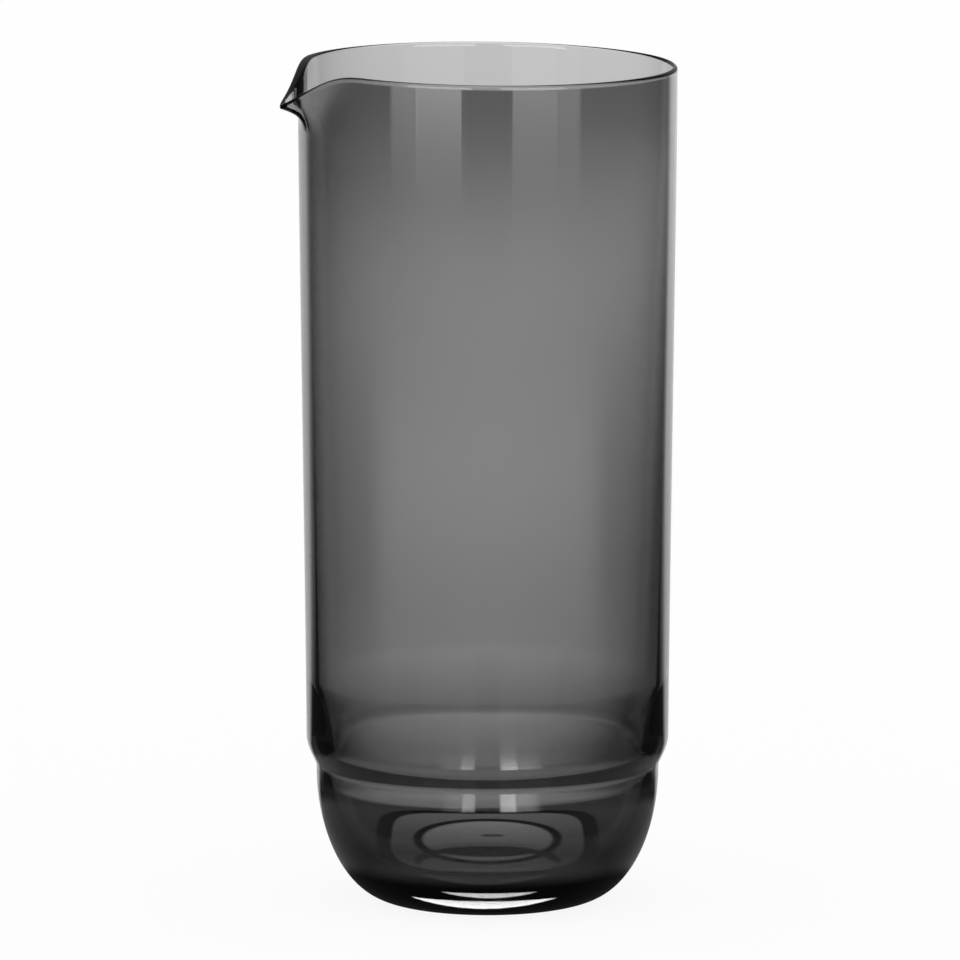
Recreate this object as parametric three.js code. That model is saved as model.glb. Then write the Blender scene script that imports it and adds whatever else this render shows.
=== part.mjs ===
// Smoked glass carafe: one thick-based vessel with a waist above its round bowl and a pouring lip
// pulled out of the rim while the glass was soft. Millimetres, +Z up, standing on Z = 0, with the
// axis of the vessel on the Z axis and the lip pouring towards -X.
import * as THREE from 'three';
import { mergeVertices } from 'three/addons/utils/BufferGeometryUtils.js';

// Overall
const carafeHeight = 223;
const rimRadius = 50;

// Foot: a flat ring to stand on, round a shallow recess with a flat middle
const footRadius = 24.4;
const footRingWidth = 4.4;
const recessDepth = 1;
const recessSlopeWidth = 5;

// Bowl: a quarter ellipse from the foot up to its widest level
const bowlRadius = 45.25;
const bowlHeight = 31.5;

// Shoulder: an S from the waist, just above the bowl, out to the foot of the tall wall
const waistHeight = 33.2;
const shoulderRadius = 48.05;
const shoulderHeight = 45;

// Glass thickness
const baseThickness = 8;
const floorRadius = 13;
const bowlWall = 3.7;
const shoulderWall = 3.4;
const rimWall = 1.8;

// Pulled lip: how far its tip stands out of the wall's middle and below the rim, how deep down the
// wall the pull reaches, and how wide it is, as the angle from its keel to where the rim is round
const lipReach = 7.2;
const lipDip = 9.9;
const lipDepth = 18;
const lipHalfAngle = THREE.MathUtils.degToRad(33);
const lipNoseAngle = THREE.MathUtils.degToRad(1.5);
const lipTipSlope = THREE.MathUtils.degToRad(22);

// How steeply the rim runs out to the tip, and how steeply it dips there
const reachPower = 3.5;
const dipPower = 2.2;

// Handles of the curves, as shares of the stretch that each one shapes
const waistHandleShare = 0.25;
const shoulderHandleShare = 0.61;
const shoulderTuckShare = 0.125;
const wallLowHandle = { riseShare: 0.31, swellShare: 0.2 };
const wallHighHandle = { riseShare: 0.81, swellShare: 0.95 };
const sheetHandleShare = 1 / 3;

// Facets
const turns = 76;
const turnPacking = 0.7;
const bowlSteps = 8;
const shoulderSteps = 9;
const wallSteps = 7;
const lipSteps = 7;
const rimSteps = 6;
const innerShoulderSteps = 4;
const innerBowlSteps = 7;

const lipRootHeight = carafeHeight - lipDepth;
const rimEdgeRadius = rimWall / 2;
const rimEdgeHeight = carafeHeight - rimEdgeRadius;
const sheetRadius = rimRadius - rimEdgeRadius;

const point = (radius, height) => new THREE.Vector2(radius, height);

// The tall wall's outside, from the shoulder to the rim: it leans out slightly, then stands upright
const wallSwell = rimRadius - shoulderRadius;
const wallRise = carafeHeight - shoulderHeight;
const wallHandle = ({ riseShare, swellShare }) =>
  point(shoulderRadius + wallSwell * swellShare, shoulderHeight + wallRise * riseShare);
const wallCurve = new THREE.CubicBezierCurve(
  point(shoulderRadius, shoulderHeight),
  wallHandle(wallLowHandle),
  wallHandle(wallHighHandle),
  point(rimRadius, carafeHeight),
);

// The outside radius of the tall wall at a height, found by halving along its curve
function wallRadiusAt(height) {
  let low = 0;
  let high = 1;
  for (let halving = 0; halving < 30; halving += 1) {
    const middle = (low + high) / 2;
    if (wallCurve.getPoint(middle).y < height) low = middle;
    else high = middle;
  }
  return wallCurve.getPoint(low).x;
}

// The glass thins steadily from the shoulder to the rim
const wallThicknessAt = (height) =>
  THREE.MathUtils.mapLinear(height, shoulderHeight, carafeHeight, shoulderWall, rimWall);

// Heights along the tall wall: even steps up to the lip's root, then finer ones up to the rim's edge
function wallHeights() {
  const heights = [];
  for (let step = 1; step <= wallSteps; step += 1) {
    heights.push(THREE.MathUtils.lerp(shoulderHeight, lipRootHeight, step / wallSteps));
  }
  for (let step = 1; step <= lipSteps; step += 1) {
    heights.push(THREE.MathUtils.lerp(lipRootHeight, rimEdgeHeight, step / lipSteps));
  }
  return heights;
}

function underside() {
  const recessEdge = footRadius - footRingWidth;
  return [
    point(0, recessDepth),
    point(recessEdge - recessSlopeWidth, recessDepth),
    point(recessEdge, 0),
    point(footRadius, 0),
  ];
}

function outside() {
  const bowl = new THREE.EllipseCurve(
    footRadius, bowlHeight, bowlRadius - footRadius, bowlHeight, -Math.PI / 2, 0);
  const shoulderRise = shoulderHeight - waistHeight;
  const shoulder = new THREE.CubicBezierCurve(
    point(bowlRadius, waistHeight),
    point(bowlRadius, waistHeight + shoulderRise * waistHandleShare),
    point(
      shoulderRadius - (shoulderRadius - bowlRadius) * shoulderTuckShare,
      shoulderHeight - shoulderRise * shoulderHandleShare,
    ),
    point(shoulderRadius, shoulderHeight),
  );
  return [
    ...bowl.getPoints(bowlSteps).slice(1),
    ...shoulder.getPoints(shoulderSteps),
    ...wallHeights().map((height) => point(wallRadiusAt(height), height)),
  ];
}

// The rim is fire-polished: a half circle over the wall's thickness
function rimEdge() {
  const edge = new THREE.EllipseCurve(
    sheetRadius, rimEdgeHeight, rimEdgeRadius, rimEdgeRadius, 0, Math.PI);
  return edge.getPoints(rimSteps).slice(1, -1);
}

function inside() {
  const wall = wallHeights().reverse()
    .map((height) => point(wallRadiusAt(height) - wallThicknessAt(height), height));
  const innerBowlRadius = bowlRadius - bowlWall;
  const innerShoulderRadius = shoulderRadius - shoulderWall;
  const shoulderRise = shoulderHeight - waistHeight;
  const shoulder = new THREE.CubicBezierCurve(
    point(innerShoulderRadius, shoulderHeight),
    point(innerShoulderRadius, shoulderHeight - shoulderRise * shoulderHandleShare),
    point(innerBowlRadius, waistHeight + shoulderRise * waistHandleShare),
    point(innerBowlRadius, waistHeight),
  );
  const bowl = new THREE.EllipseCurve(
    floorRadius, bowlHeight, innerBowlRadius - floorRadius, bowlHeight - baseThickness,
    0, -Math.PI / 2, true);
  return [
    ...wall,
    ...shoulder.getPoints(innerShoulderSteps),
    ...bowl.getPoints(innerBowlSteps),
    point(0, baseThickness),
  ];
}

// Where the wall's middle ends at the rim, and how steeply, a given share of the way to the keel
function lipEdge(share) {
  const reach = lipReach * share ** reachPower;
  const dip = lipDip * share ** dipPower;
  const flare = (Math.PI / 2 - lipTipSlope) * share ** dipPower;
  return { end: point(sheetRadius + reach, carafeHeight - dip), slope: Math.PI / 2 - flare };
}

// The wall near the lip is a sheet that bends outward as it rises: its middle follows one curve in
// each upright plane through the axis, and the glass keeps its thickness on both sides of it
function pullLip(radius, height, turnFromKeel) {
  const rounded = Math.hypot(turnFromKeel, lipNoseAngle);
  if (height <= lipRootHeight || rounded >= lipHalfAngle) return point(radius, height);
  const { end, slope } = lipEdge((lipHalfAngle - rounded) / (lipHalfAngle - lipNoseAngle));
  const root = point(sheetRadius, lipRootHeight);
  const handle = end.distanceTo(root) * sheetHandleShare;
  const sheet = new THREE.CubicBezierCurve(
    root,
    point(sheetRadius, lipRootHeight + lipDepth * sheetHandleShare),
    point(end.x - handle * Math.cos(slope), end.y - handle * Math.sin(slope)),
    end,
  );
  const along = (height - lipRootHeight) / lipDepth;
  const across = sheet.getTangent(along).rotateAround(point(0, 0), -Math.PI / 2);
  return sheet.getPoint(along).addScaledVector(across, radius - sheetRadius);
}

// The vessel is turned about its axis with its facets packed closer at the lip, which is then pulled
function vesselGeometry() {
  const profile = [...underside(), ...outside(), ...rimEdge(), ...inside()];
  const lathe = new THREE.LatheGeometry(profile, turns);
  const position = lathe.getAttribute('position');
  const columnSize = profile.length;
  for (let index = 0; index < position.count; index += 1) {
    const column = Math.floor(index / columnSize) % turns;
    const spread = (column / turns) * 2 * Math.PI;
    const turn = spread - turnPacking * Math.sin(spread);
    const turnFromKeel = Math.min(turn, 2 * Math.PI - turn);
    const { x: radius, y: height } = profile[index % columnSize];
    const pulled = pullLip(radius, height, turnFromKeel);
    position.setXYZ(index, -pulled.x * Math.cos(turn), -pulled.x * Math.sin(turn), pulled.y);
  }
  lathe.deleteAttribute('normal');
  lathe.deleteAttribute('uv');
  return mergeVertices(lathe);
}

const smokedGlass = new THREE.MeshStandardMaterial({
  name: 'smoked_glass',
  color: 0x4a4a4b,
  roughness: 0.04,
  metalness: 0,
  transparent: true,
  opacity: 0.62,
});

const glassBody = new THREE.Mesh(vesselGeometry(), smokedGlass);
glassBody.name = 'glass_body';

const carafe = new THREE.Group();
carafe.add(glassBody);

export default carafe;
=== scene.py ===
"""Smoked glass carafe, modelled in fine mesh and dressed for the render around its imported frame.

Every object is in metres, in the frame's own axes: +Z up from the table, the lip pouring towards -X.
"""

import logging
import math
from dataclasses import dataclass
from typing import Any, Iterable

import bmesh
import bpy
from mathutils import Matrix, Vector


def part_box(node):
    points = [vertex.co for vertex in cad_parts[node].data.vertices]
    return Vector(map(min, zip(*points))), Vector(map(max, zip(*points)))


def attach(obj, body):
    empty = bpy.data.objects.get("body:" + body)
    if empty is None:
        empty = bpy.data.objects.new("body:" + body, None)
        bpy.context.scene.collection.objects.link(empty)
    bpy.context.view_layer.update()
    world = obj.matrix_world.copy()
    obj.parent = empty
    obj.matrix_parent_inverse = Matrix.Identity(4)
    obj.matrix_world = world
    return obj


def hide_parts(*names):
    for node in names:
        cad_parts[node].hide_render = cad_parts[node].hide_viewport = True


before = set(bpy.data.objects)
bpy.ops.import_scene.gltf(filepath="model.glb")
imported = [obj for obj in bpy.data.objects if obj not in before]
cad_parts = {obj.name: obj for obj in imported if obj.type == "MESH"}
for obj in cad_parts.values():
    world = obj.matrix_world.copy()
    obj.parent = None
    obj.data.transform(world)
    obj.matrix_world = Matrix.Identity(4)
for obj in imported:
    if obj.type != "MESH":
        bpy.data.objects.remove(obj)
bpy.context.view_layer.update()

LOG = logging.getLogger("carafe")
MM = 0.001
IMAGE_SIZE = 960
WHITE_HEX = "ffffff"

# The sRGB standard's curve: a straight piece up to the knee, then a power
SRGB_KNEE = 0.04045
SRGB_SLOPE = 12.92
SRGB_OFFSET = 0.055
SRGB_POWER = 2.4

# The like-named inputs of a node that does sums or mixes shaders, which are told apart by place
FIRST, SECOND, THIRD = 0, 1, 2

# Limits of the set: millimetres from the axis on the table, degrees above level in the room
TABLE_MIDDLE = -20.0
TABLE_END = 9000.0
STRAIGHT_DOWN = -90.0
STRAIGHT_UP = 90.0
ALL_ROUND = 180.0
IN_FRONT = 180.0
# An oval with this start is filled to its middle
FILLED = -1.0

# Vertices closer than this are one, and vertices closer than this to the axis stay on it
MERGE_DISTANCE = 0.001 * MM
AXIS_RADIUS = 0.01 * MM


def linear(hex_colour: str) -> tuple[float, float, float, float]:
    """Turns an sRGB hex colour into a linear one.

    Args:
        hex_colour: six hex digits, such as "8a8a8c".

    Returns:
        The linear red, green, blue and an alpha of 1.
    """
    channels = []
    for at in (0, 2, 4):
        value = int(hex_colour[at : at + 2], 16) / 255
        if value <= SRGB_KNEE:
            channels.append(value / SRGB_SLOPE)
        else:
            channels.append(((value + SRGB_OFFSET) / (1 + SRGB_OFFSET)) ** SRGB_POWER)
    return (channels[0], channels[1], channels[2], 1.0)


def add_node(
    tree: bpy.types.NodeTree,
    kind: str,
    settings: dict[str, Any] | None = None,
    sockets: dict[str | int, Any] | None = None,
    links: dict[str | int, bpy.types.NodeSocket] | None = None,
) -> bpy.types.Node:
    """Adds a shader node, sets it up and links what feeds it.

    Args:
        tree: the tree that gets the node.
        kind: the node's class, such as "ShaderNodeTexNoise".
        settings: attributes of the node.
        sockets: values of its unlinked inputs, by name or place.
        links: outputs that feed its inputs, by name or place.

    Returns:
        The new node.
    """
    made = tree.nodes.new(kind)
    for name, value in (settings or {}).items():
        setattr(made, name, value)
    for name, value in (sockets or {}).items():
        made.inputs[name].default_value = value
    for name, source in (links or {}).items():
        tree.links.new(source, made.inputs[name])
    return made


def spread(start: float, end: float, steps: int) -> list[float]:
    """Spaces values evenly.

    Args:
        start: where they set out from, which isn't among them.
        end: the last value.
        steps: how many there are.

    Returns:
        The values in order.
    """
    return [start + (end - start) * i / steps for i in range(1, steps + 1)]


def bezier(points: Iterable[Vector], steps: int) -> list[Vector]:
    """Samples a cubic curve.

    Args:
        points: the start, the two handles and the end.
        steps: how many spans the samples make.

    Returns:
        The points along it, both ends included.
    """
    a, b, c, d = points
    out = []
    for i in range(steps + 1):
        t = i / steps
        s = 1 - t
        out.append(a * s**3 + b * (3 * s * s * t) + c * (3 * s * t * t) + d * t**3)
    return out


def arc(centre: Vector, radii: Vector, start: float, end: float, steps: int) -> list[Vector]:
    """Samples part of an upright ellipse.

    Args:
        centre: its centre.
        radii: its half-width and half-height.
        start: the first angle, in degrees from level.
        end: the last angle.
        steps: how many spans the samples make.

    Returns:
        The points along it, both ends included.
    """
    out = []
    for i in range(steps + 1):
        angle = math.radians(start + (end - start) * i / steps)
        out.append(centre + Vector((radii.x * math.cos(angle), radii.y * math.sin(angle))))
    return out


@dataclass(frozen=True)
class SmokedGlass:
    """Soda-lime glass tinted grey in the pot and blown.

    It is clear and glossy, and its grey sits in its body, so it looks darker where it is thick.
    """

    name: str = "smoked_soda_lime_glass_blown"
    ior: float = 1.5
    absorption_per_metre: float = 270.0
    tint: str = "bcbcbd"
    ripple_mm: float = 14.0
    ripple_squeeze: float = 0.35
    ripple_detail: float = 1.0
    ripple_roughness: float = 0.3
    ripple_depth_mm: float = 0.02
    haze_mm: float = 30.0
    haze_detail: float = 2.0
    haze_roughness: float = 0.012

    def material(self) -> bpy.types.Material:
        """Builds the glass: a sharp dielectric whose body absorbs, with faint ripples in its skin.

        Returns:
            The material.
        """
        glass = bpy.data.materials.new(self.name)
        glass.use_nodes = True
        tree = glass.node_tree
        tree.nodes.clear()
        place = add_node(tree, "ShaderNodeTexCoord").outputs["Object"]
        # Blown glass keeps long shallow ripples that follow the turning of the pipe
        stretched = add_node(
            tree,
            "ShaderNodeMapping",
            sockets={"Scale": (1.0, 1.0, self.ripple_squeeze)},
            links={"Vector": place},
        ).outputs["Vector"]
        ripple = add_node(
            tree,
            "ShaderNodeTexNoise",
            sockets={
                "Scale": 1 / (self.ripple_mm * MM),
                "Detail": self.ripple_detail,
                "Roughness": self.ripple_roughness,
            },
            links={"Vector": stretched},
        ).outputs["Fac"]
        bump = add_node(
            tree,
            "ShaderNodeBump",
            sockets={"Strength": 1.0, "Distance": self.ripple_depth_mm * MM},
            links={"Height": ripple},
        ).outputs["Normal"]
        # Handling leaves the polish a trace less sharp in soft patches
        haze = add_node(
            tree,
            "ShaderNodeTexNoise",
            sockets={"Scale": 1 / (self.haze_mm * MM), "Detail": self.haze_detail},
            links={"Vector": place},
        ).outputs["Fac"]
        roughness = add_node(
            tree,
            "ShaderNodeMath",
            {"operation": "MULTIPLY"},
            {SECOND: self.haze_roughness},
            {FIRST: haze},
        ).outputs[0]
        shader = add_node(
            tree,
            "ShaderNodeBsdfPrincipled",
            sockets={"Base Color": linear(WHITE_HEX), "IOR": self.ior, "Transmission Weight": 1.0},
            links={"Normal": bump, "Roughness": roughness},
        )
        # The tint's green sets how much of the light a metre of glass holds back
        colour = linear(self.tint)
        density = self.absorption_per_metre / (1 - colour[1])
        body = add_node(
            tree, "ShaderNodeVolumeAbsorption", sockets={"Color": colour, "Density": density}
        )
        out = add_node(tree, "ShaderNodeOutputMaterial")
        tree.links.new(shader.outputs["BSDF"], out.inputs["Surface"])
        tree.links.new(body.outputs["Volume"], out.inputs["Volume"])
        return glass


@dataclass
class Vessel:
    """The whole carafe: wall, rim, lip, shoulder, waist, bowl and base in one skin of glass."""

    node: str = "glass_body"
    foot_radius: float = 25.6 * MM
    foot_ring_width: float = 4.4 * MM
    recess_depth: float = 1.0 * MM
    recess_slope_width: float = 5.0 * MM
    bowl_radius: float = 45.45 * MM
    bowl_height: float = 35.6 * MM
    waist_height: float = 35.7 * MM
    shoulder_radius: float = 48.05 * MM
    shoulder_height: float = 44.0 * MM
    base_thickness: float = 6.2 * MM
    floor_radius: float = 22.0 * MM
    bowl_wall: float = 3.7 * MM
    inner_shoulder_height: float = 60.0 * MM
    inner_waist_height: float = 36.0 * MM
    shoulder_wall: float = 3.4 * MM
    rim_wall: float = 1.8 * MM
    # Hand work: the bore wanders off centre towards the rim, and the rim isn't quite level
    bore_offset: float = 0.6 * MM
    bore_offset_height: float = 200.0 * MM
    rim_tilt: float = 0.0125
    rim_tilt_start: float = 120.0 * MM
    lip_reach: float = 7.2 * MM
    lip_dip: float = 9.9 * MM
    lip_depth: float = 18.0 * MM
    lip_half_angle: float = math.radians(33)
    lip_nose_angle: float = math.radians(1.5)
    lip_tip_slope: float = math.radians(22)
    reach_power: float = 3.5
    dip_power: float = 2.2
    # Handles of the curves, as shares of the stretch that each one shapes: (out, up) on the wall
    wall_low_handle: tuple[float, float] = (0.2, 0.31)
    wall_high_handle: tuple[float, float] = (0.95, 0.81)
    waist_handle: float = 0.25
    shoulder_handle: float = 0.5
    shoulder_tuck: float = 0.05
    recess_handle: float = 0.5
    ring_handle: float = 0.2
    inner_shoulder_handle: float = 0.16
    inner_waist_handle: float = 0.05
    # Spans of each stretch of the outline, and of the turn about the axis
    flat_spans: int = 6
    recess_spans: int = 10
    bowl_spans: int = 48
    shoulder_spans: int = 28
    wall_spans: int = 60
    lip_spans: int = 32
    rim_spans: int = 12
    inner_neck_spans: int = 28
    inner_bowl_spans: int = 56
    wall_samples: int = 400
    turns: int = 240
    turn_packing: float = 0.6

    def __post_init__(self) -> None:
        """Takes the height and the rim's radius from the frame."""
        low, high = (Vector(corner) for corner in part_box(self.node))
        self.height = high.z - low.z
        self.rim_radius = high.y
        self.rim_edge = self.height - self.rim_wall / 2
        self.lip_root = self.height - self.lip_depth
        self.sheet_radius = self.rim_radius - self.rim_wall / 2

    def wall_curve(self) -> list[Vector]:
        """Draws the tall wall's outside.

        Returns:
            Fine samples of it, from the shoulder to the rim's edge.
        """
        swell = self.rim_radius - self.shoulder_radius
        rise = self.height - self.shoulder_height
        base = Vector((self.shoulder_radius, self.shoulder_height))
        low, high = (
            base + Vector((swell * out, rise * up))
            for out, up in (self.wall_low_handle, self.wall_high_handle)
        )
        return bezier((base, low, high, Vector((self.rim_radius, self.height))), self.wall_samples)

    def wall_outside(self) -> list[Vector]:
        """Picks the wall's outside at the heights that carry vertices.

        Returns:
            The points from the shoulder up, which are denser where the lip is pulled.
        """
        fine = self.wall_curve()
        heights = spread(self.shoulder_height, self.lip_root, self.wall_spans)
        heights += spread(self.lip_root, self.rim_edge, self.lip_spans)
        out = []
        at = 0
        for height in heights:
            while fine[at + 1].y < height:
                at += 1
            share = (height - fine[at].y) / (fine[at + 1].y - fine[at].y)
            out.append(fine[at].lerp(fine[at + 1], share))
        return out

    def thickness(self, height: float) -> float:
        """The wall's thickness at a height: it thins steadily up to the rim."""
        share = (height - self.shoulder_height) / (self.height - self.shoulder_height)
        return self.shoulder_wall + (self.rim_wall - self.shoulder_wall) * share

    def underside(self) -> list[Vector]:
        """Draws the recess under the base.

        Returns:
            The points from the axis to the ring that the carafe stands on.
        """
        ring = self.foot_radius - self.foot_ring_width
        flat = ring - self.recess_slope_width
        level = [0.0] + spread(0.0, flat, self.flat_spans)[:-1]
        slope = bezier(
            (
                Vector((flat, self.recess_depth)),
                Vector((flat + self.recess_slope_width * self.recess_handle, self.recess_depth)),
                Vector((ring - self.recess_slope_width * self.ring_handle, 0.0)),
                Vector((ring, 0.0)),
            ),
            self.recess_spans,
        )
        return [Vector((x, self.recess_depth)) for x in level] + slope

    def outside(self) -> list[Vector]:
        """Draws the bowl and the S of the waist and shoulder.

        Returns:
            The points from the foot to the start of the tall wall.
        """
        bowl = arc(
            Vector((self.foot_radius, self.bowl_height)),
            Vector((self.bowl_radius - self.foot_radius, self.bowl_height)),
            -90,
            0,
            self.bowl_spans,
        )
        rise = self.shoulder_height - self.waist_height
        tuck = (self.shoulder_radius - self.bowl_radius) * self.shoulder_tuck
        shoulder = bezier(
            (
                Vector((self.bowl_radius, self.waist_height)),
                Vector((self.bowl_radius, self.waist_height + rise * self.waist_handle)),
                Vector((self.shoulder_radius - tuck, self.shoulder_height - rise * self.shoulder_handle)),
                Vector((self.shoulder_radius, self.shoulder_height)),
            ),
            self.shoulder_spans,
        )
        return bowl + shoulder

    def inside(self, wall: list[Vector]) -> list[Vector]:
        """Draws the hollow.

        Args:
            wall: the tall wall's outside, from the shoulder up.

        Returns:
            The points from just under the rim down the wall and over the floor to the axis.
        """
        inner_wall = [
            Vector((p.x - self.thickness(p.y), p.y))
            for p in reversed(wall)
            if p.y > self.inner_shoulder_height
        ]
        bowl_inside = self.bowl_radius - self.bowl_wall
        top = inner_wall[-1]
        rise = top.y - self.inner_waist_height
        neck = bezier(
            (
                top,
                Vector((top.x, top.y - rise * self.inner_shoulder_handle)),
                Vector((bowl_inside, self.inner_waist_height + rise * self.inner_waist_handle)),
                Vector((bowl_inside, self.inner_waist_height)),
            ),
            self.inner_neck_spans,
        )[1:]
        bowl = arc(
            Vector((self.floor_radius, self.inner_waist_height)),
            Vector((bowl_inside - self.floor_radius, self.inner_waist_height - self.base_thickness)),
            0,
            -90,
            self.inner_bowl_spans,
        )
        floor = [
            Vector((self.floor_radius * i / self.flat_spans, self.base_thickness))
            for i in range(self.flat_spans - 1, -1, -1)
        ]
        return inner_wall + neck + bowl + floor

    def profile(self) -> list[Vector]:
        """Joins the stretches of the outline.

        Returns:
            The closed outline of the glass on one side of the axis, from under the base to the floor.
        """
        wall = self.wall_outside()
        edge = arc(
            Vector((self.sheet_radius, self.rim_edge)),
            Vector((self.rim_wall / 2, self.rim_wall / 2)),
            0,
            180,
            self.rim_spans,
        )[1:-1]
        return self.underside() + self.outside() + wall + edge + self.inside(wall)

    def pulled(self, radius: float, height: float, turn: float) -> Vector:
        """Bends the wall's sheet outward near the lip.

        Args:
            radius: the point's distance from the axis on the plain wall.
            height: its height there.
            turn: its angle from the lip's keel, in radians.

        Returns:
            The pulled radius and height.
        """
        rounded = math.hypot(turn, self.lip_nose_angle)
        if height <= self.lip_root or rounded >= self.lip_half_angle:
            return Vector((radius, height))
        share = (self.lip_half_angle - rounded) / (self.lip_half_angle - self.lip_nose_angle)
        slope = math.pi / 2 - (math.pi / 2 - self.lip_tip_slope) * share**self.dip_power
        end = Vector(
            (
                self.sheet_radius + self.lip_reach * share**self.reach_power,
                self.height - self.lip_dip * share**self.dip_power,
            )
        )
        root = Vector((self.sheet_radius, self.lip_root))
        # Each handle is a third of the way, which keeps the heights evenly spaced
        up = root + Vector((0.0, self.lip_depth / 3))
        back = end - Vector((math.cos(slope), math.sin(slope))) * ((end - root).length / 3)
        t = (height - self.lip_root) / self.lip_depth
        s = 1 - t
        middle = root * s**3 + up * (3 * s * s * t) + back * (3 * s * t * t) + end * t**3
        along = (up - root) * (s * s) + (back - up) * (2 * s * t) + (end - back) * (t * t)
        along.normalize()
        return middle + Vector((along.y, -along.x)) * (radius - self.sheet_radius)

    def settled(self, place: Vector, turn: float, inner: float) -> tuple[float, float, float]:
        """Puts a point of the pulled outline in the round, with the wander of hand work.

        Args:
            place: its radius and height.
            turn: its angle from the lip's keel, in radians.
            inner: 1 on the inside of the glass and 0 on the outside.

        Returns:
            The point.
        """
        across = -place.x * math.cos(turn)
        up = min(1.0, place.y / self.bore_offset_height)
        bore = self.bore_offset * up * up * inner * math.cos(turn) ** 2
        # The tilt eases in on the way up
        lean = max(0.0, place.y - self.rim_tilt_start) / (self.height - self.rim_tilt_start)
        tilt = self.rim_tilt * across * lean * lean * (3 - 2 * lean)
        return (across + bore, -place.x * math.sin(turn), place.y - tilt)

    def mesh(self) -> bpy.types.Mesh:
        """Turns the outline about the axis, packs its columns at the lip and pulls the lip.

        Returns:
            The closed skin of the glass.
        """
        shape = bmesh.new()
        inner = shape.verts.layers.float.new("inner")
        outline = self.profile()
        line = [shape.verts.new((-p.x, 0.0, p.y)) for p in outline]
        rim_top = max(range(len(outline)), key=lambda i: outline[i].y)
        for vertex in line[rim_top + 1 :]:
            vertex[inner] = 1.0
        edges = [shape.edges.new(pair) for pair in zip(line, line[1:])]
        bmesh.ops.spin(
            shape,
            geom=line + edges,
            cent=(0, 0, 0),
            axis=(0, 0, 1),
            angle=2 * math.pi,
            steps=self.turns,
            use_merge=True,
            use_duplicate=False,
        )
        bmesh.ops.remove_doubles(shape, verts=shape.verts, dist=MERGE_DISTANCE)
        for vertex in shape.verts:
            radius = math.hypot(vertex.co.x, vertex.co.y)
            if radius < AXIS_RADIUS:
                continue
            even = math.atan2(-vertex.co.y, -vertex.co.x)
            turn = even - self.turn_packing * math.sin(even)
            place = self.pulled(radius, vertex.co.z, abs(turn))
            vertex.co = self.settled(place, turn, vertex[inner])
        shape.verts.layers.float.remove(inner)
        bmesh.ops.recalc_face_normals(shape, faces=shape.faces)
        for face in shape.faces:
            face.smooth = True
        mesh = bpy.data.meshes.new(self.node)
        shape.to_mesh(mesh)
        shape.free()
        return mesh

    def build(self, glass: SmokedGlass) -> bpy.types.Object:
        """Makes the piece, dresses it and puts it in the frame.

        Args:
            glass: the finish.

        Returns:
            The vessel's object.
        """
        piece = bpy.data.objects.new("carafe_glass", self.mesh())
        bpy.context.scene.collection.objects.link(piece)
        piece.data.materials.append(glass.material())
        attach(piece, "root")
        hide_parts(self.node)
        LOG.info("carafe_glass: %d faces", len(piece.data.polygons))
        return piece


@dataclass
class Camera:
    """A long lens, a little above the carafe and turned so that the lip comes towards it."""

    azimuth: float = -15.5
    distance: float = 2.8
    height: float = 0.564
    pitch: float = 9.17
    focal_pixels: float = 10720.0
    axis_pixel: float = 487.6
    sensor_mm: float = 36.0
    nearest: float = 0.1
    farthest: float = 50.0

    def build(self) -> bpy.types.Object:
        """Makes the camera and gives it to the scene.

        Returns:
            The camera's object.
        """
        lens = bpy.data.cameras.new("camera")
        lens.sensor_width = self.sensor_mm
        lens.lens = self.sensor_mm * self.focal_pixels / IMAGE_SIZE
        lens.clip_start = self.nearest
        lens.clip_end = self.farthest
        camera = bpy.data.objects.new("camera", lens)
        around = math.radians(self.azimuth)
        camera.location = (
            math.sin(around) * self.distance,
            -math.cos(around) * self.distance,
            self.height,
        )
        sideways = math.atan((self.axis_pixel - IMAGE_SIZE / 2) / self.focal_pixels)
        camera.rotation_euler = (math.radians(90 - self.pitch), 0.0, around + sideways)
        bpy.context.scene.collection.objects.link(camera)
        bpy.context.scene.camera = camera
        return camera


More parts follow.
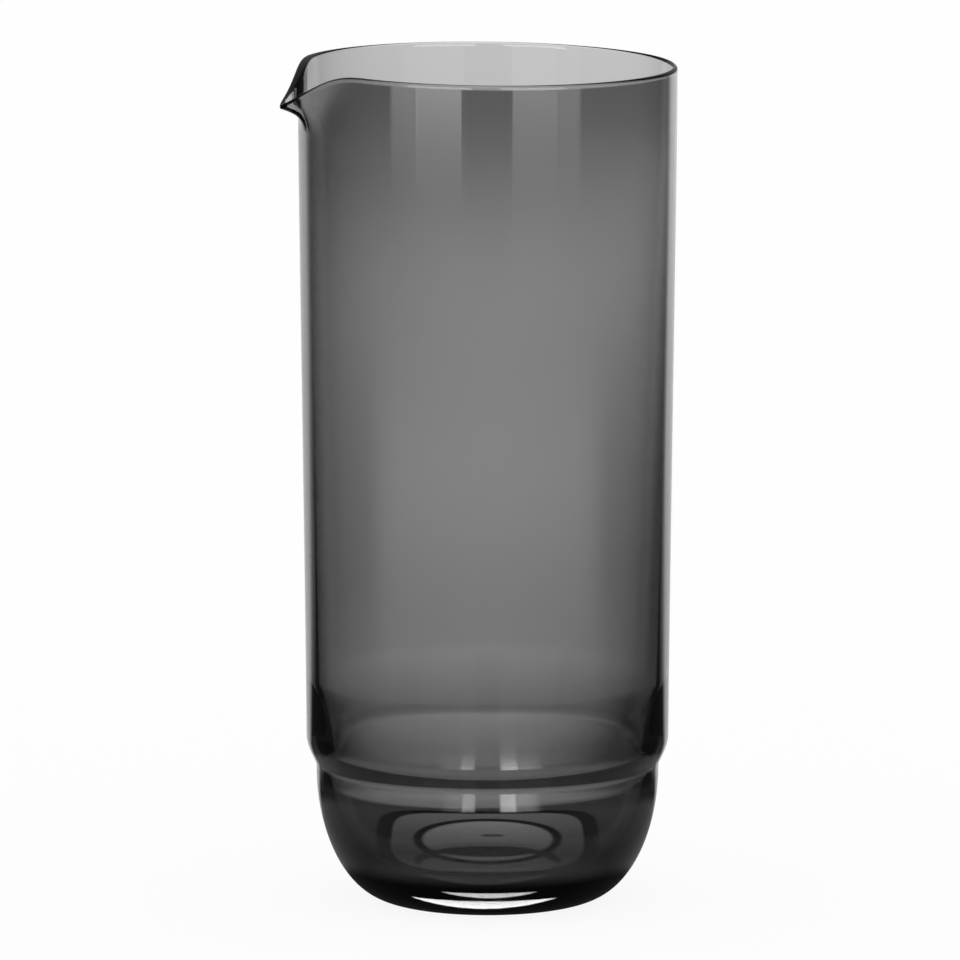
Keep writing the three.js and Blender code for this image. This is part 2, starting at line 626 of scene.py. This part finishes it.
@dataclass(frozen=True)
class Glow:
    """A soft-edged part of the set and how bright it is, seen from where the carafe stands.

    It lies between start and end, half_width degrees to each side of around, which is counted from
    straight behind the carafe towards the picture's right. A level below 0 darkens what lies under it,
    as painted shade.
    """

    level: float
    start: float
    end: float
    start_blur: float = 1.0
    end_blur: float = 1.0
    around: float = 0.0
    half_width: float = ALL_ROUND
    side_blur: float = 0.0
    tapers: bool = False

    def measure(self, value: float) -> float:
        """Turns a limit into what the shader measures."""
        return value

    def light(
        self, tree: bpy.types.NodeTree, heading: bpy.types.NodeSocket, along: bpy.types.NodeSocket
    ) -> bpy.types.NodeSocket:
        """Adds the nodes that light this part.

        Args:
            tree: the tree that gets them.
            heading: the level unit vector towards the point.
            along: what start and end are measured on.

        Returns:
            The part's level there.
        """
        towards = math.radians(Camera.azimuth - self.around)
        centre = (-math.sin(towards), math.cos(towards), 0.0)
        cosine = add_node(
            tree,
            "ShaderNodeVectorMath",
            {"operation": "DOT_PRODUCT"},
            {SECOND: centre},
            {FIRST: heading},
        ).outputs["Value"]
        inner = along
        if self.tapers:
            # The start moves out to meet the end at the sides, which gives a crescent
            width = self.measure(self.end) - self.measure(self.start)
            slope = width / (1 - math.cos(math.radians(self.half_width)))
            shift = add_node(
                tree,
                "ShaderNodeMath",
                {"operation": "MULTIPLY_ADD"},
                {SECOND: slope, THIRD: -slope},
                {FIRST: cosine},
            ).outputs[0]
            inner = add_node(
                tree, "ShaderNodeMath", {"operation": "ADD"}, links={FIRST: along, SECOND: shift}
            ).outputs[0]
        rise = add_node(
            tree,
            "ShaderNodeMapRange",
            {"interpolation_type": "SMOOTHSTEP"},
            {
                "From Min": self.measure(self.start - self.start_blur),
                "From Max": self.measure(self.start + self.start_blur),
                "To Max": self.level,
            },
            {"Value": inner},
        ).outputs["Result"]
        fall = add_node(
            tree,
            "ShaderNodeMapRange",
            {"interpolation_type": "SMOOTHSTEP"},
            {
                "From Min": self.measure(self.end - self.end_blur),
                "From Max": self.measure(self.end + self.end_blur),
                "To Min": 1.0,
                "To Max": 0.0,
            },
            {"Value": along},
        ).outputs["Result"]
        lit = add_node(
            tree, "ShaderNodeMath", {"operation": "MULTIPLY"}, links={FIRST: rise, SECOND: fall}
        ).outputs[0]
        if self.half_width >= ALL_ROUND:
            return lit
        side = add_node(
            tree,
            "ShaderNodeMapRange",
            {"interpolation_type": "SMOOTHSTEP"},
            {
                "From Min": math.cos(math.radians(self.half_width + self.side_blur)),
                "From Max": math.cos(math.radians(self.half_width - self.side_blur)),
            },
            {"Value": cosine},
        ).outputs["Result"]
        return add_node(
            tree, "ShaderNodeMath", {"operation": "MULTIPLY"}, links={FIRST: lit, SECOND: side}
        ).outputs[0]


@dataclass(frozen=True)
class TableGlow(Glow):
    """A part of the table: start and end are millimetres from the carafe's axis."""

    def measure(self, value: float) -> float:
        """Millimetres in metres."""
        return value * MM


@dataclass(frozen=True)
class OvalGlow(Glow):
    """An oval on the table behind the carafe: start and end are shares of its size.

    Its middle, its half-depth away from the carafe and its half-breadth are in millimetres. A blunt
    oval has straighter sides. Its level is painted light on the table, and below 0 painted shade.
    """

    middle: float = 0.0
    depth: float = 1.0
    breadth: float = 1.0
    blunt: bool = False

    def measure(self, value: float) -> float:
        """A blunt oval is measured in squared shares."""
        return value * abs(value) if self.blunt else value

    def light(
        self, tree: bpy.types.NodeTree, heading: bpy.types.NodeSocket, along: bpy.types.NodeSocket
    ) -> bpy.types.NodeSocket:
        """Adds the nodes that light this oval.

        Args:
            tree: the tree that gets them.
            heading: the level unit vector towards the point.
            along: the point's distance from the axis.

        Returns:
            The oval's level there.
        """
        towards = math.radians(Camera.azimuth - self.around)
        reach = self.middle * MM
        place = add_node(
            tree, "ShaderNodeVectorMath", {"operation": "SCALE"}, links={FIRST: heading, "Scale": along}
        ).outputs[0]
        share = add_node(
            tree,
            "ShaderNodeMapping",
            {"vector_type": "TEXTURE"},
            {
                "Location": (-math.sin(towards) * reach, math.cos(towards) * reach, 0.0),
                "Rotation": (0.0, 0.0, towards),
                "Scale": (self.breadth * MM, self.depth * MM, 1.0),
            },
            {"Vector": place},
        ).outputs[0]
        if self.blunt:
            share = add_node(
                tree,
                "ShaderNodeVectorMath",
                {"operation": "MULTIPLY"},
                links={FIRST: share, SECOND: share},
            ).outputs[0]
        size = add_node(
            tree, "ShaderNodeVectorMath", {"operation": "LENGTH"}, links={FIRST: share}
        ).outputs["Value"]
        return super().light(tree, heading, size)


@dataclass(frozen=True)
class SkyGlow(Glow):
    """A part of the room: start and end are degrees above level."""

    def measure(self, value: float) -> float:
        """The sine of the elevation."""
        return math.sin(math.radians(max(STRAIGHT_DOWN, min(STRAIGHT_UP, value))))


@dataclass(frozen=True)
class Surroundings:
    """What the glass shows of the table or of the room.

    Light that comes through the glass sees one picture, and light that is turned back in it sees
    another: a plain one, the pale sweep behind, and the softboxes. The outer skin shows the sweep
    weaker by sweep_in_skin. On the table these pictures hold painted shade round the foot and painted
    pools, crescents and glows of light.
    """

    through: tuple[Glow, ...]
    plain: tuple[Glow, ...]
    sweep: tuple[Glow, ...]
    boxes: tuple[Glow, ...]
    sweep_in_skin: float


ON_TABLE = Surroundings(
    through=(
        TableGlow(0.1, TABLE_MIDDLE, TABLE_END),
        # The table round the foot, painted darker as the carafe's shadow, and the light that gathers
        # behind it, painted in two pools
        TableGlow(0.3, start=30.0, end=118.0, start_blur=12.0, end_blur=14.0),
        TableGlow(
            0.65, start=85.0, end=112.0, start_blur=1.5, end_blur=12.0,
            around=-3.0, half_width=35.0, side_blur=8.0, tapers=True,
        ),
        TableGlow(
            0.45, start=85.0, end=320.0, start_blur=1.5, end_blur=190.0,
            around=-8.0, half_width=120.0, side_blur=1.0, tapers=True,
        ),
        # The pale middle of the sweep, which fills the tall wall
        TableGlow(
            0.82, start=106.0, end=TABLE_END, start_blur=14.0,
            around=-5.0, half_width=14.0, side_blur=14.5,
        ),
        # Painted light and shade on the table behind the base, which the glass shows as the window under
        # the base: its painted dark outline, its painted light, and a painted dark ring round painted
        # light for the rings of the thick floor
        OvalGlow(
            -0.35, FILLED, end=1.0, start_blur=0.1, end_blur=0.02,
            middle=32.0, depth=48.0, breadth=36.0, blunt=True,
        ),
        OvalGlow(
            1.1, FILLED, end=0.97, start_blur=0.1, end_blur=0.02,
            middle=34.0, depth=43.0, breadth=31.0, blunt=True,
        ),
        OvalGlow(
            -1.1, start=0.9, end=1.03, start_blur=0.03, end_blur=0.03,
            middle=34.0, depth=32.5, breadth=22.0,
        ),
        OvalGlow(
            1.1, FILLED, end=0.88, start_blur=0.1, end_blur=0.03,
            middle=34.0, depth=32.5, breadth=22.0,
        ),
        # Painted shade on the table, which shows as the dark lens of the base, and a painted dark spot
        # behind it
        OvalGlow(
            -2.0, FILLED, end=1.0, start_blur=0.1, end_blur=0.15,
            middle=16.0, depth=6.0, breadth=13.0,
        ),
        OvalGlow(
            -1.4, FILLED, end=1.0, start_blur=0.1, end_blur=0.3, around=2.0,
            middle=40.5, depth=2.5, breadth=3.5,
        ),
    ),
    plain=(
        TableGlow(0.03, TABLE_MIDDLE, TABLE_END),
        # A pale patch of the table in front, and the table round the foot painted darker as the carafe's
        # shadow, which veil the wall and the bowl
        TableGlow(
            0.9, start=420.0, end=850.0, start_blur=220.0, end_blur=200.0,
            around=IN_FRONT, half_width=70.0, side_blur=12.0,
        ),
        TableGlow(0.15, start=46.0, end=130.0, start_blur=5.0, end_blur=15.0),
        TableGlow(
            0.3, start=45.0, end=57.0, start_blur=4.0, end_blur=8.0,
            around=IN_FRONT, half_width=50.0, side_blur=25.0,
        ),
    ),
    sweep=(TableGlow(1.15, 130.0, TABLE_END, start_blur=60.0, half_width=36.0, side_blur=5.0),),
    boxes=(
        # Each softbox painted far out on the table as a glow that only the gloss sees: its lit face, then
        # the dimmer side of it
        TableGlow(
            2.4, 1480.0, TABLE_END, start_blur=260.0, around=151.5, half_width=13.5, side_blur=0.8
        ),
        TableGlow(
            1.7, 1480.0, TABLE_END, start_blur=260.0, around=130.5, half_width=7.5, side_blur=2.0
        ),
        TableGlow(
            3.6, 1480.0, TABLE_END, start_blur=260.0, around=-150.5, half_width=14.0, side_blur=0.5
        ),
        TableGlow(
            2.2, 1480.0, TABLE_END, start_blur=260.0, around=-128.5, half_width=8.0, side_blur=2.0
        ),
        # Painted pools of the light they throw on the table near the foot, which light the waist
        TableGlow(5.0, 137.0, 240.0, 4.0, 80.0, around=168.0, half_width=4.5, side_blur=1.0),
        TableGlow(2.4, 137.0, 240.0, 4.0, 80.0, around=161.0, half_width=8.0, side_blur=6.0),
        TableGlow(3.4, 137.0, 240.0, 4.0, 80.0, around=-169.0, half_width=3.6, side_blur=1.0),
        TableGlow(1.0, 137.0, 240.0, 4.0, 80.0, around=-163.0, half_width=6.0, side_blur=5.0),
        # Two painted crescents of gathered light on the table in front, under the round of the bowl,
        # which show as painted highlights in the base
        TableGlow(
            11.5, 32.5, 36.0, 0.3, 0.3, around=-178.0, half_width=37.0, side_blur=1.0, tapers=True
        ),
        TableGlow(
            10.5, 37.6, 39.8, 0.3, 0.3, around=-181.0, half_width=23.0, side_blur=1.0, tapers=True
        ),
    ),
    sweep_in_skin=0.62,
)

IN_ROOM = Surroundings(
    through=(
        SkyGlow(0.75, STRAIGHT_DOWN, -1.0),
        SkyGlow(0.1, STRAIGHT_DOWN, 15.0, end_blur=5.0),
        SkyGlow(0.08, STRAIGHT_DOWN, STRAIGHT_UP),
    ),
    plain=(SkyGlow(0.06, STRAIGHT_DOWN, STRAIGHT_UP),),
    sweep=(SkyGlow(1.25, STRAIGHT_DOWN, 75.0, end_blur=10.0, half_width=31.0, side_blur=5.0),),
    boxes=(
        SkyGlow(
            3.6, STRAIGHT_DOWN, 35.0, end_blur=8.0, around=151.5, half_width=20.0, side_blur=1.0
        ),
        SkyGlow(
            3.6, STRAIGHT_DOWN, 35.0, end_blur=8.0, around=-150.5, half_width=20.0, side_blur=1.0
        ),
    ),
    sweep_in_skin=0.12,
)

# Painted shade: the table far off is darker to light that has been through both walls again
FAR_TABLE_SHADE = (TableGlow(0.6, start=1300.0, end=TABLE_END, start_blur=330.0),)


@dataclass
class Studio:
    """A pale table under a white sweep, with dark flanks and two tall softboxes in front."""

    table_size: float = 8.0
    table_sides: int = 96
    cloth_hex: str = "626262"
    camera_level: float = 0.9
    room_level: float = 0.75
    box_behind_glass: float = 0.3
    # Past this many crossings of a surface, light has left both walls and come back, and sees the far
    # table painted darker
    both_walls: float = 3.5

    def picture(
        self,
        tree: bpy.types.NodeTree,
        glows: tuple[Glow, ...],
        heading: bpy.types.NodeSocket,
        along: bpy.types.NodeSocket,
    ) -> bpy.types.NodeSocket:
        """Adds up parts of the set.

        Args:
            tree: the tree that gets the nodes.
            glows: the parts.
            heading: the level unit vector towards the point.
            along: what their limits are measured on.

        Returns:
            Their level there together.
        """
        total = glows[0].light(tree, heading, along)
        for glow in glows[1:]:
            part = glow.light(tree, heading, along)
            total = add_node(
                tree, "ShaderNodeMath", {"operation": "ADD"}, links={FIRST: total, SECOND: part}
            ).outputs[0]
        return total

    def gloss(
        self,
        tree: bpy.types.NodeTree,
        rays: bpy.types.NodeOutputs,
        seen: Surroundings,
        heading: bpy.types.NodeSocket,
        along: bpy.types.NodeSocket,
    ) -> bpy.types.NodeSocket:
        """Adds up what the gloss sees: the softboxes are weaker where a wall lies between.

        Args:
            tree: the tree that gets the nodes.
            rays: the Light Path's outputs.
            seen: the surroundings.
            heading: the level unit vector towards the point.
            along: what their limits are measured on.

        Returns:
            Their level there together.
        """
        clear = add_node(
            tree,
            "ShaderNodeMapRange",
            sockets={"To Min": 1.0, "To Max": self.box_behind_glass},
            links={"Value": rays["Transmission Depth"]},
        ).outputs["Result"]
        inside = add_node(
            tree,
            "ShaderNodeMapRange",
            sockets={"To Min": seen.sweep_in_skin, "To Max": 1.0},
            links={"Value": rays["Transmission Depth"]},
        ).outputs["Result"]
        soft = add_node(
            tree,
            "ShaderNodeMath",
            {"operation": "MULTIPLY_ADD"},
            links={
                FIRST: self.picture(tree, seen.sweep, heading, along),
                SECOND: inside,
                THIRD: self.picture(tree, seen.plain, heading, along),
            },
        ).outputs[0]
        return add_node(
            tree,
            "ShaderNodeMath",
            {"operation": "MULTIPLY_ADD"},
            links={
                FIRST: self.picture(tree, seen.boxes, heading, along),
                SECOND: clear,
                THIRD: soft,
            },
        ).outputs[0]

    def world(self) -> None:
        """Lights the scene: white for the camera, and the room for the glass."""
        world = bpy.data.worlds.new("studio")
        bpy.context.scene.world = world
        world.use_nodes = True
        tree = world.node_tree
        tree.nodes.clear()
        rays = add_node(tree, "ShaderNodeLightPath").outputs
        ray = add_node(tree, "ShaderNodeTexCoord").outputs["Generated"]
        level_ray = add_node(
            tree,
            "ShaderNodeVectorMath",
            {"operation": "MULTIPLY"},
            {SECOND: (1.0, 1.0, 0.0)},
            {FIRST: ray},
        ).outputs[0]
        heading = add_node(
            tree, "ShaderNodeVectorMath", {"operation": "NORMALIZE"}, links={FIRST: level_ray}
        ).outputs[0]
        upward = add_node(tree, "ShaderNodeSeparateXYZ", links={"Vector": ray}).outputs["Z"]
        through = self.picture(tree, IN_ROOM.through, heading, upward)
        gloss = self.gloss(tree, rays, IN_ROOM, heading, upward)
        glassy = add_node(
            tree,
            "ShaderNodeMix",
            links={"Factor": rays["Glossy Depth"], "A": through, "B": gloss},
        ).outputs[0]
        soft = add_node(
            tree,
            "ShaderNodeMix",
            sockets={"B": self.room_level},
            links={"Factor": rays["Is Diffuse Ray"], "A": glassy},
        ).outputs[0]
        level = add_node(
            tree,
            "ShaderNodeMath",
            {"operation": "MAXIMUM"},
            links={FIRST: soft, SECOND: rays["Is Camera Ray"]},
        ).outputs[0]
        background = add_node(
            tree,
            "ShaderNodeBackground",
            sockets={"Color": linear(WHITE_HEX)},
            links={"Strength": level},
        )
        out = add_node(tree, "ShaderNodeOutputWorld")
        tree.links.new(background.outputs["Background"], out.inputs["Surface"])

    def cloth(self) -> bpy.types.Material:
        """Makes the table's white cloth: matt to the camera and the lit set to the glass.

        Returns:
            The material.
        """
        # The table's material holds painted shade and painted light that only the glass sees
        white = bpy.data.materials.new("white_table_matt_painted_light")
        white.use_nodes = True
        tree = white.node_tree
        tree.nodes.clear()
        rays = add_node(tree, "ShaderNodeLightPath").outputs
        place = add_node(tree, "ShaderNodeTexCoord").outputs["Object"]
        heading = add_node(
            tree, "ShaderNodeVectorMath", {"operation": "NORMALIZE"}, links={FIRST: place}
        ).outputs[0]
        reach = add_node(
            tree, "ShaderNodeVectorMath", {"operation": "LENGTH"}, links={FIRST: place}
        ).outputs["Value"]
        # Through the glass the table shows painted shade round the foot and painted pools of light behind
        # it
        near = self.picture(tree, ON_TABLE.through, heading, reach)
        far = self.picture(tree, FAR_TABLE_SHADE, heading, reach)
        returned = add_node(
            tree,
            "ShaderNodeMath",
            {"operation": "GREATER_THAN"},
            {SECOND: self.both_walls},
            {FIRST: rays["Transmission Depth"]},
        ).outputs[0]
        # Painted shade: the far table is darker to light that has crossed both walls
        far_table_shade = add_node(
            tree, "ShaderNodeMath", {"operation": "MULTIPLY"}, links={FIRST: far, SECOND: returned}
        ).outputs[0]
        through = add_node(
            tree, "ShaderNodeMath", {"operation": "SUBTRACT"}, links={FIRST: near, SECOND: far_table_shade}
        ).outputs[0]
        gloss = self.gloss(tree, rays, ON_TABLE, heading, reach)
        glassy = add_node(
            tree,
            "ShaderNodeMix",
            links={"Factor": rays["Glossy Depth"], "A": through, "B": gloss},
        ).outputs[0]
        level = add_node(
            tree,
            "ShaderNodeMix",
            sockets={"B": self.camera_level},
            links={"Factor": rays["Is Camera Ray"], "A": glassy},
        ).outputs[0]
        glow = add_node(
            tree,
            "ShaderNodeEmission",
            sockets={"Color": linear(WHITE_HEX)},
            links={"Strength": level},
        ).outputs[0]
        # Only the camera sees the cloth itself, which keeps the carafe's soft shadow
        matt = add_node(tree, "ShaderNodeBsdfDiffuse", sockets={"Color": linear(self.cloth_hex)})
        shaded = add_node(
            tree, "ShaderNodeMixShader", links={"Fac": rays["Is Camera Ray"], THIRD: matt.outputs[0]}
        ).outputs[0]
        both = add_node(tree, "ShaderNodeAddShader", links={FIRST: glow, SECOND: shaded})
        out = add_node(tree, "ShaderNodeOutputMaterial")
        tree.links.new(both.outputs[0], out.inputs["Surface"])
        return white

    def table(self) -> bpy.types.Object:
        """Lays the pale table.

        Returns:
            The table's object.
        """
        shape = bmesh.new()
        bmesh.ops.create_circle(
            shape, cap_ends=True, segments=self.table_sides, radius=self.table_size / 2
        )
        mesh = bpy.data.meshes.new("table")
        shape.to_mesh(mesh)
        shape.free()
        mesh.materials.append(self.cloth())
        table = bpy.data.objects.new("table", mesh)
        bpy.context.scene.collection.objects.link(table)
        return table


def main() -> None:
    """Builds the piece and the studio in order."""
    logging.basicConfig(level=logging.INFO, format="%(message)s")
    Vessel().build(SmokedGlass())
    Camera().build()
    studio = Studio()
    studio.world()
    studio.table()
    bpy.context.scene.view_settings.view_transform = "Standard"


if __name__ == "__main__":
    main()
